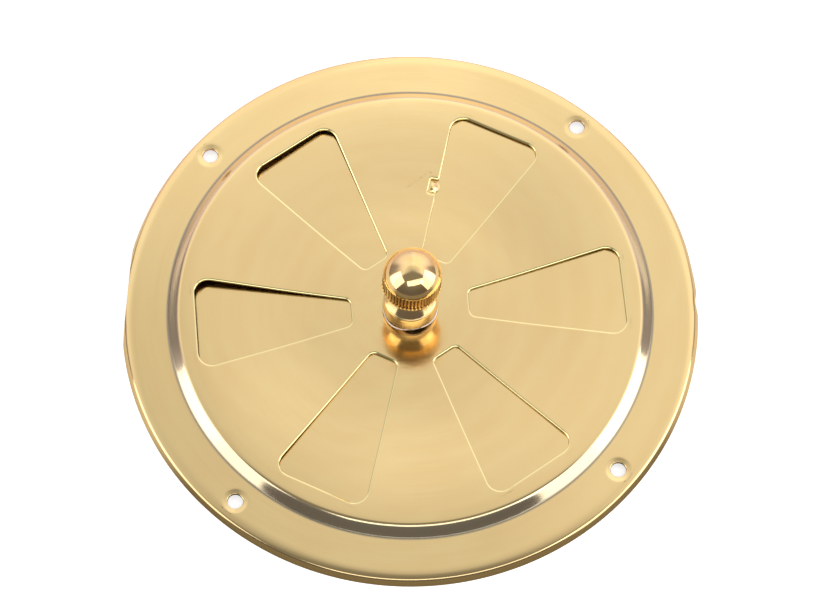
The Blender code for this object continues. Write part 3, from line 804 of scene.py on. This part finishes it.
# ---- Wave washer --------------------------------------------------------------------------------
# A ring of bright spring steel bent into three waves, squeezed between the collar and the disc. Its
# push is the friction that holds the shutter where it is put.
wave_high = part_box("wave_washer")[1] / MM
WAVE_INNER, WAVE_OUTER, WAVE_SHEET, WAVE_EDGE = 3.8, wave_high.x, 0.3, 0.08
WAVES, WAVE_CREST = 3, math.radians(279)
WAVE_PLAY = 0.02
WAVE_RISE = (COLLAR_FOOT - HUB_TOP - WAVE_SHEET) / 2 - WAVE_PLAY
WASHER_ANGLES = 192
SPRING_STEEL, SPRING_GLOSS, SPRING_GRAIN = (0.76, 0.74, 0.78, 1), 0.12, 6.0


def washer_net(inner, outer, low, high, round_edge, angles):
    """A flat ring's section carried round; its edges are half ellipses, round_edge deep."""
    turn = np.linspace(-math.pi / 2, math.pi / 2, 7)
    half = (high - low) / 2
    outer_r = outer - round_edge + round_edge * np.cos(turn)
    inner_r = inner + round_edge - round_edge * np.cos(turn)
    z = low + half * (1 + np.sin(turn))
    between = np.linspace(outer - round_edge, inner + round_edge, 8)[1:-1]
    radii = np.concatenate([outer_r, between, inner_r[::-1], between[::-1]])
    heights = np.concatenate([z, 0 * between + high, z[::-1], 0 * between + low])
    net = turned_net(radii, heights, angles)
    return np.concatenate([net, net[:1]])


washer_angles = np.arange(WASHER_ANGLES) * math.tau / WASHER_ANGLES
wave_middle = (HUB_TOP + COLLAR_FOOT) / 2
net = washer_net(WAVE_INNER, WAVE_OUTER, wave_middle - WAVE_SHEET / 2, wave_middle + WAVE_SHEET / 2,
                 WAVE_EDGE, washer_angles)
net = waved(net, lambda x, y: WAVE_RISE * np.cos(WAVES * (np.arctan2(y, x) - WAVE_CREST)))


def rolled_steel(name, tint, rough, grain):
    """Cold-rolled steel strip: straight fine grain in gloss, relief and tint."""
    made, start = new_material(name)
    x, y, z = place_parts(start)[1:4]
    spot = start.node("ShaderNodeCombineXYZ", {}, {0: x * 0.25, 1: y * grain, 2: z})
    lines = spot.noise(1.0, 4.0, 0.6)
    colour = lines.blend(tint, tuple(value * 0.8 for value in tint[:3]) + (1,))
    gloss = rough + 0.12 * lines
    bump = start.node("ShaderNodeBump", {}, {"Strength": 0.1, "Distance": 0.0001, "Height": lines})
    shader = start.node("ShaderNodeBsdfPrincipled", {}, {
        "Base Color": colour, "Metallic": 1.0, "Roughness": gloss, "Normal": bump})
    return finish_material(made, shader)


wave_washer = make_piece("spring_washer", [(net, True)])
wave_washer.data.materials.append(
    rolled_steel("spring_steel_finish", SPRING_STEEL, SPRING_GLOSS, SPRING_GRAIN))
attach(wave_washer, "rotor")
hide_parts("wave_washer")


# ---- Back washer --------------------------------------------------------------------------------
# A plain washer stamped from brass sheet. The screw pulls it up against the back of the shutter, where
# it covers the neck's hole.
back_low, back_high = (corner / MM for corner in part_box("back_washer"))
WASHER_HOLE, BACK_EDGE = 1.8, 0.1
BACK_LOWERED = 0.3
BACK_LIGHT, BACK_WARM, BACK_GLOSS = (0.86, 0.66, 0.34, 1), (0.80, 0.58, 0.27, 1), 0.26
back_net = washer_net(WASHER_HOLE, back_high.x, back_low.z - BACK_LOWERED, back_high.z - BACK_LOWERED,
                      BACK_EDGE, washer_angles)
back_washer = make_piece("back_washer_brass", [(back_net, True)])
back_washer.data.materials.append(
    polished_sheet("washer_brass_finish", BACK_LIGHT, BACK_WARM, BACK_GLOSS))
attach(back_washer, "rotor")
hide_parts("back_washer")


# ---- Lock washer --------------------------------------------------------------------------------
# A thin washer of hardened steel with twisted teeth round its hole, which bite under the screw's head
# and keep it from working loose.
lock_low, lock_high = (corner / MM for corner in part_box("lock_washer"))
LOCK_TEETH, LOCK_TOOTH, LOCK_TWIST, LOCK_EDGE = 8, 0.8, 0.03, 0.05
LOCK_STEEL, LOCK_GLOSS, LOCK_GRAIN = (0.62, 0.62, 0.62, 1), 0.22, 3.0
net = washer_net(WASHER_HOLE, lock_high.x, lock_low.z + LOCK_TWIST, lock_high.z - LOCK_TWIST, LOCK_EDGE,
                 washer_angles)
bearing = np.arctan2(net[..., 1], net[..., 0])
reach = np.hypot(net[..., 0], net[..., 1])
inward = 1 - smooth(reach, WASHER_HOLE, WASHER_HOLE + LOCK_TOOTH)
tooth = smooth(np.cos(LOCK_TEETH * bearing), -0.35, 0.35)
grow = 1 + inward * (1 - tooth) * LOCK_TOOTH / WASHER_HOLE
net[..., :2] *= grow[..., None]
net[..., 2] += LOCK_TWIST * inward * tooth * np.sin(LOCK_TEETH * bearing)
lock_washer = make_piece("toothed_washer", [(net, True)])
lock_washer.data.materials.append(
    rolled_steel("washer_steel_finish", LOCK_STEEL, LOCK_GLOSS, LOCK_GRAIN))
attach(lock_washer, "rotor")
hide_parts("lock_washer")


# ---- Spindle screw ------------------------------------------------------------------------------
# A slotted brass screw with a thin head, turned and threaded. It passes through both washers and the
# shutter into the knob's neck, and holds the ventilator together.
screw_low, screw_high = (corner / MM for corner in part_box("spindle_screw"))
HEAD_RADIUS, HEAD_THICK, HEAD_BEVEL = 3.4, 0.9, 0.25
SCREW_RADIUS, THREAD_PITCH, THREAD_DEPTH = 1.5, 0.5, 0.3
SHANK_ANGLES, SHANK_ROWS, SHANK_SUNK = 48, 130, 0.2
POINT_TAPER, POINT_LENGTH = 0.5, 0.6
SLOT_HALF, SLOT_DEPTH, SLOT_TURN = 0.45, 0.5, math.radians(20)
SCREW_LIGHT, SCREW_WARM, SCREW_GLOSS = (0.90, 0.68, 0.34, 1), (0.84, 0.60, 0.27, 1), 0.18


def slotted_face():
    """The head's underside from rim to rim: columns across the slot at x, rows y = v times half the
    chord at x, dropped to the slot's floor between its walls; then out to the bevel and up its side."""
    reach = HEAD_RADIUS - HEAD_BEVEL
    turn = np.linspace(math.asin(SLOT_HALF / reach), math.pi / 2, 24)
    side = reach * np.sin(turn)
    x = np.concatenate([-side[::-1], [-SLOT_HALF, 0.0, SLOT_HALF], side])
    deep = np.concatenate([0 * side, [1, 1, 1], 0 * side])
    chord = np.sqrt(np.clip(reach ** 2 - x ** 2, 0, None))
    v = np.linspace(-1, 1, 9)[:, None]
    face = np.stack([x + 0 * v, v * chord, SLOT_DEPTH * deep + 0 * v], -1)
    rim = np.concatenate([face[-1], face[0, -2:0:-1]])
    out = rim.copy()
    out[:, :2] *= HEAD_RADIUS / reach
    out[:, 2] = np.maximum(rim[:, 2], HEAD_BEVEL)
    top = out.copy()
    top[:, 2] = HEAD_THICK
    hub = top.copy()
    hub[:, :2] *= 0
    return [(face, False), (np.stack([rim, out, top, hub]), True)]


def screw_nets():
    """The head, and the shank with its thread: the radius is a V wave of height and turn. The shank
    is a closed surface of its own that starts inside the head."""
    nets = []
    for net, wrap in slotted_face():
        moved = net.copy()
        moved[..., :2] = turned_by(net[..., :2], SLOT_TURN)
        moved[..., 2] += screw_low.z
        nets.append((moved, wrap))
    turns = np.arange(SHANK_ANGLES) * math.tau / SHANK_ANGLES
    rise = np.linspace(0.4, screw_high.z - screw_low.z - HEAD_THICK, SHANK_ROWS)[:, None]
    phase = (rise / THREAD_PITCH - turns / math.tau) % 1.0
    cut = THREAD_DEPTH * (1 - np.abs(2 * phase - 1)) * smooth(rise, 0.5, 1.0)
    point = POINT_TAPER * smooth(rise, rise[-1] - POINT_LENGTH, rise[-1])
    radii = SCREW_RADIUS - cut - point
    heights = screw_low.z + HEAD_THICK + rise
    foot = np.array([[screw_low.z + HEAD_THICK - SHANK_SUNK]])
    pole = np.zeros((1, SHANK_ANGLES))
    radii = np.concatenate([pole, radii[:1], radii, pole])
    heights = np.concatenate([foot, foot, heights, heights[-1:]])
    nets.append((turned_net(radii, heights, turns), True))
    return nets


screw = make_piece("slotted_screw", screw_nets())
screw.data.materials.append(turned_brass("screw_brass_finish", SCREW_LIGHT, SCREW_WARM, SCREW_GLOSS))
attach(screw, "rotor")
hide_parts("spindle_screw")


# ---- Floor --------------------------------------------------------------------------------------
# A white table. It is seen plain white; in the brass it shows the shade and warm light that the
# ventilator throws on it: dark in front, pale behind and at the sides.
FLOOR_SIZE, FLOOR_DROP = 3.0, 1e-5
PAPER_LOW, PAPER_HIGH = (0.80, 0.80, 0.80, 1), (0.82, 0.82, 0.82, 1)
SEEN_WHITE = (0.62, 0.62, 0.62, 1)
SHADE_FRONT, SHADE_BACK, SHADE_SIDE = (0.22, 0.20, 0.15, 1), (0.86, 0.68, 0.66, 1), (0.85, 0.80, 0.70, 1)
x, y = np.meshgrid(np.linspace(-FLOOR_SIZE, FLOOR_SIZE, 9), np.linspace(-FLOOR_SIZE, FLOOR_SIZE, 9))
floor = make_piece("studio_table", [(np.stack([x, y, 0 * x - FLOOR_DROP], -1) / MM, False)])
made, start = new_material("white_table")
place, x, y, z, r = place_parts(start)
paper = place.noise(0.8, 3.0).blend(PAPER_LOW, PAPER_HIGH)
seen = start.node("ShaderNodeLightPath", {}, {}, 0)
glossy = start.node("ShaderNodeLightPath", {}, {}, 3)
mirrored = (y / r).ease(-0.45, 0.3).blend(SHADE_FRONT, SHADE_BACK)
sideways = (x / r).math("ABSOLUTE", x / r).ease(0.80, 0.96)
mirrored = sideways.blend(mirrored, SHADE_SIDE)
shader = start.node("ShaderNodeBsdfPrincipled", {}, {
    "Base Color": glossy.blend(paper, mirrored), "Roughness": 0.9,
    "Emission Color": seen.blend(BLACK, SEEN_WHITE), "Emission Strength": 1.0})
floor.data.materials.append(finish_material(made, shader))


# ---- Cove ---------------------------------------------------------------------------------------
# The world round the table, by the direction's elevation (degrees), its share to the side and its
# bearing: a pale cove behind with a bright band and two dark corners, and a dim room in front. All of
# the studio is turned a little about the object.
TURN = math.radians(5.81)
COVE_BAND, COVE_ABOVE, COVE_TOP = 1.26, 0.90, 0.38
COVE_SIDE, COVE_LEFT, COVE_FOOT = 0.76, 0.85, 0.78
CORNER_DARK, CORNER_LEFT, CORNER_RIGHT = 0.42, 157, 22
ROOM_LOW, ROOM_RISE = 0.14, 0.12
CREAM, ROSE = (1.0, 0.985, 0.95, 1), (1.0, 0.90, 0.95, 1)
world = bpy.data.worlds.new("studio_cove")
bpy.context.scene.world = world
world.use_nodes = True
world.node_tree.nodes.clear()
sky = Signal(world.node_tree)
way = sky.node("ShaderNodeTexCoord", {}, {}, 0)
way = sky.node("ShaderNodeMapping", {}, {"Vector": way, "Rotation": (0, 0, TURN)})
wx, wy, wz = (sky.node("ShaderNodeSeparateXYZ", {}, {0: way}, axis) for axis in range(3))
rise = wz.math("ARCSINE", wz) * (180 / math.pi)
aside = wx * wx
cove = rise.ease(57.0, 68.0, COVE_BAND, COVE_ABOVE) * rise.ease(66.0, 90.0, 1.0, COVE_TOP)
cove = cove * aside.ease(0.12, 0.6, 1.0, COVE_SIDE) * wx.ease(-0.10, 0.0, COVE_LEFT, 1.0)
cove = cove * rise.ease(0.0, 25.0, COVE_FOOT, 1.0)
bearing = wy.math("ARCTAN2", wy, wx) * (180 / math.pi)
from_left = (bearing - CORNER_LEFT).math("ABSOLUTE", bearing - CORNER_LEFT)
from_right = (bearing - CORNER_RIGHT).math("ABSOLUTE", bearing - CORNER_RIGHT)
gaps = from_left.ease(8.0, 24.0) * from_right.ease(6.0, 18.0)
corner = CORNER_DARK + (1 - CORNER_DARK) * gaps
lift = rise.ease(22.0, 48.0)
cove = cove * (corner + (1 - corner) * lift)
behind = (wy + 0.45 * aside).ease(-0.02, 0.16)
room = ROOM_LOW + ROOM_RISE * rise.ease(10.0, 60.0)
glow = room + (cove - room) * behind
side_tint = aside.ease(0.08, 0.5) + rise.ease(40.0, 8.0) * (1 - aside.ease(0.08, 0.5))
tint = side_tint.blend(CREAM, ROSE)
seen = sky.node("ShaderNodeLightPath", {}, {}, 0)
lit = sky.node("ShaderNodeBackground", {}, {"Color": tint, "Strength": glow})
plain = sky.node("ShaderNodeBackground", {}, {"Color": (1, 1, 1, 1), "Strength": 1.0})
both = sky.node("ShaderNodeMixShader", {}, {0: seen, 1: lit, 2: plain})
sky.node("ShaderNodeOutputWorld", {}, {"Surface": both})


# ---- Lights and camera --------------------------------------------------------------------------
# Two large soft boxes at the sides and a low one in front. The camera looks down steeply from the
# front.
def studio_light(name, azimuth, height, distance, size, power):
    """A soft rectangular light facing the object from an azimuth and an elevation, in degrees."""
    azimuth, height = math.radians(azimuth) - TURN, math.radians(height)
    light = bpy.data.lights.new(name, "AREA")
    light.shape = "RECTANGLE"
    light.size, light.size_y = size
    light.energy = power
    lamp = bpy.data.objects.new(name, light)
    bpy.context.scene.collection.objects.link(lamp)
    way = Vector((math.cos(height) * math.cos(azimuth), math.cos(height) * math.sin(azimuth),
                  math.sin(height)))
    lamp.location = way * distance
    lamp.rotation_euler = way.to_track_quat("Z", "Y").to_euler()
    lamp.visible_camera = False


studio_light("left_soft_box", 196, 27, 1.4, (1.1, 1.3), 6.8)
studio_light("right_soft_box", -15, 27, 1.4, (1.4, 1.35), 9.0)
studio_light("front_soft_box", 284, 54.5, 1.4, (1.45, 0.50), 3.8)

PITCH, ROLL = math.radians(66.475), math.radians(0.733)
DISTANCE, SHIFT_RIGHT, SHIFT_UP = 726.4, -2.160, -2.015
LENS, SENSOR = 141.54, 36.0
back = Vector((0, -math.cos(PITCH), math.sin(PITCH)))
right = Vector((1, 0, 0))
up = back.cross(right)
rolled_right = right * math.cos(ROLL) + up * math.sin(ROLL)
rolled_up = up * math.cos(ROLL) - right * math.sin(ROLL)
spot = back * DISTANCE - rolled_right * SHIFT_RIGHT - rolled_up * SHIFT_UP
spot = (spot + Vector((0, 0, FLANGE_TOP))) * MM
aim = Matrix((rolled_right, rolled_up, back)).transposed().to_4x4()
lens = bpy.data.cameras.new("camera")
lens.lens = LENS
lens.sensor_width = SENSOR
lens.clip_start = 0.01
camera = bpy.data.objects.new("camera", lens)
bpy.context.scene.collection.objects.link(camera)
camera.matrix_world = Matrix.Rotation(-TURN, 4, "Z") @ Matrix.Translation(spot) @ aim
bpy.context.scene.camera = camera
bpy.context.scene.view_settings.view_transform = "Standard"
